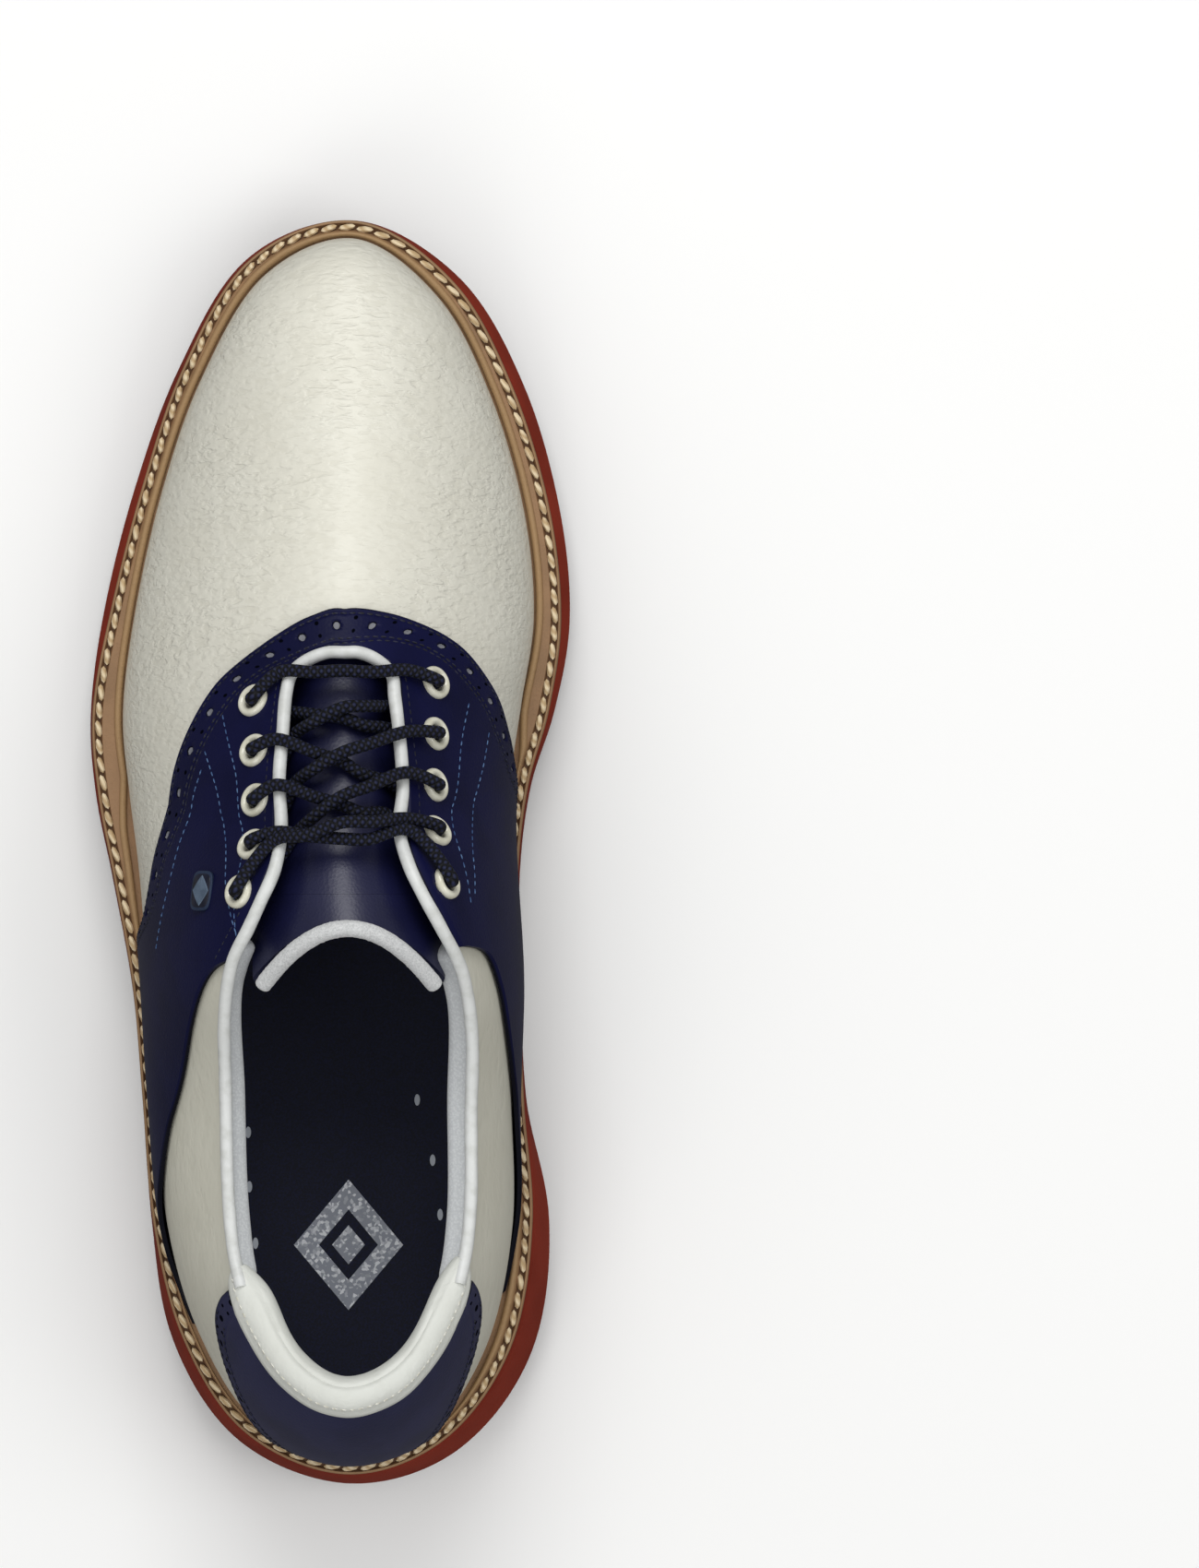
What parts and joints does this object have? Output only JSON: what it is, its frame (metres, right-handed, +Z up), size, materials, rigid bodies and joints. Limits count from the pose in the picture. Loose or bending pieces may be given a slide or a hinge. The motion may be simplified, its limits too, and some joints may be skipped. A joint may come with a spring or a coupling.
{
  "type": "golf shoe",
  "caption": "Left lace-up saddle golf shoe with a padded collar, an open throat under crossed laces, a folding tongue top, a stitched storm welt and twist-in cleats.",
  "frame": {"origin": "middle of the bounding box at its bottom: on the ground under the middle of the shoe", "axes": "+X to the inner (medial) side of the foot, +Y to the toe, +Z up"},
  "size_m": [0.115, 0.3023, 0.1094],
  "materials": {
    "cream_leather": "pebbled, semi-gloss",
    "navy_leather": "smooth, semi-gloss",
    "light_textile": "brushed mesh",
    "white_piping": "smooth",
    "welt_leather": "waxed edge",
    "cream_thread": "twisted",
    "brick_rubber": "matt",
    "midsole_leather": "matt",
    "dark_board": "fibrous",
    "cork": "granular",
    "spring_steel": "rolled",
    "footbed_fabric": "brushed",
    "eyelet_enamel": "gloss enamel",
    "lace_cord": "braided",
    "black_plastic": "moulded",
    "cleat_plastic": "moulded",
    "badge_metal": "satin"
  },
  "bodies": {
    "shoe": {"vamp": "cream_leather", "toe_puff": "dark_board", "vamp_lining": "light_textile", "saddle": "navy_leather", "facing_medial": "dark_board", "facing_lateral": "dark_board", "quarter_medial": "cream_leather", "quarter_lateral": "cream_leather", "quarter_lining": "light_textile", "heel_stiffener": "dark_board", "heel_tab": "navy_leather", "collar": "cream_leather", "piping": "white_piping", "tongue": "navy_leather", "eyelet_medial_1": "eyelet_enamel", "eyelet_medial_2": "eyelet_enamel", "eyelet_medial_3": "eyelet_enamel", "eyelet_medial_4": "eyelet_enamel", "eyelet_medial_5": "eyelet_enamel", "eyelet_lateral_1": "eyelet_enamel", "eyelet_lateral_2": "eyelet_enamel", "eyelet_lateral_3": "eyelet_enamel", "eyelet_lateral_4": "eyelet_enamel", "eyelet_lateral_5": "eyelet_enamel", "lace": "lace_cord", "aglet_1": "black_plastic", "aglet_2": "black_plastic", "badge": "badge_metal", "welt": "welt_leather", "welt_stitch": "cream_thread", "insole_board": "dark_board", "shank": "spring_steel", "cork_filler": "cork", "footbed": "footbed_fabric", "midsole": "midsole_leather", "outsole": "brick_rubber", "receptacle_1": "black_plastic", "receptacle_2": "black_plastic", "receptacle_3": "black_plastic", "receptacle_4": "black_plastic", "receptacle_5": "black_plastic", "receptacle_6": "black_plastic", "receptacle_7": "black_plastic"},
    "tongue_top": {"tongue_flap": "navy_leather", "tongue_edge": "light_textile"},
    "cleat_1": {"cleat_1": "cleat_plastic"},
    "cleat_2": {"cleat_2": "cleat_plastic"},
    "cleat_3": {"cleat_3": "cleat_plastic"},
    "cleat_4": {"cleat_4": "cleat_plastic"},
    "cleat_5": {"cleat_5": "cleat_plastic"},
    "cleat_6": {"cleat_6": "cleat_plastic"},
    "cleat_7": {"cleat_7": "cleat_plastic"}
  },
  "joints": [
    {"name": "tongue_fold", "type": "hinge", "parent": "shoe", "child": "tongue_top", "pos_m": [0.006, -0.009, 0.1052], "axis": [1, 0, 0], "range_deg": [-40, 0]},
    {"name": "cleat_1_twist", "type": "hinge", "parent": "shoe", "child": "cleat_1", "pos_m": [-0.041, 0.026, 0.006], "axis": [0, 0, 1], "range_deg": [-60, 0]},
    {"name": "cleat_2_twist", "type": "hinge", "parent": "shoe", "child": "cleat_2", "pos_m": [0.038, 0.04, 0.006], "axis": [0, 0, 1], "range_deg": [-60, 0]},
    {"name": "cleat_3_twist", "type": "hinge", "parent": "shoe", "child": "cleat_3", "pos_m": [-0.037, 0.066, 0.006], "axis": [0, 0, 1], "range_deg": [-60, 0]},
    {"name": "cleat_4_twist", "type": "hinge", "parent": "shoe", "child": "cleat_4", "pos_m": [0.036, 0.074, 0.006], "axis": [0, 0, 1], "range_deg": [-60, 0]},
    {"name": "cleat_5_twist", "type": "hinge", "parent": "shoe", "child": "cleat_5", "pos_m": [0.002, 0.089, 0.006], "axis": [0, 0, 1], "range_deg": [-60, 0]},
    {"name": "cleat_6_twist", "type": "hinge", "parent": "shoe", "child": "cleat_6", "pos_m": [-0.022, -0.112, 0.006], "axis": [0, 0, 1], "range_deg": [-60, 0]},
    {"name": "cleat_7_twist", "type": "hinge", "parent": "shoe", "child": "cleat_7", "pos_m": [0.03, -0.112, 0.006], "axis": [0, 0, 1], "range_deg": [-60, 0]}
  ]
}
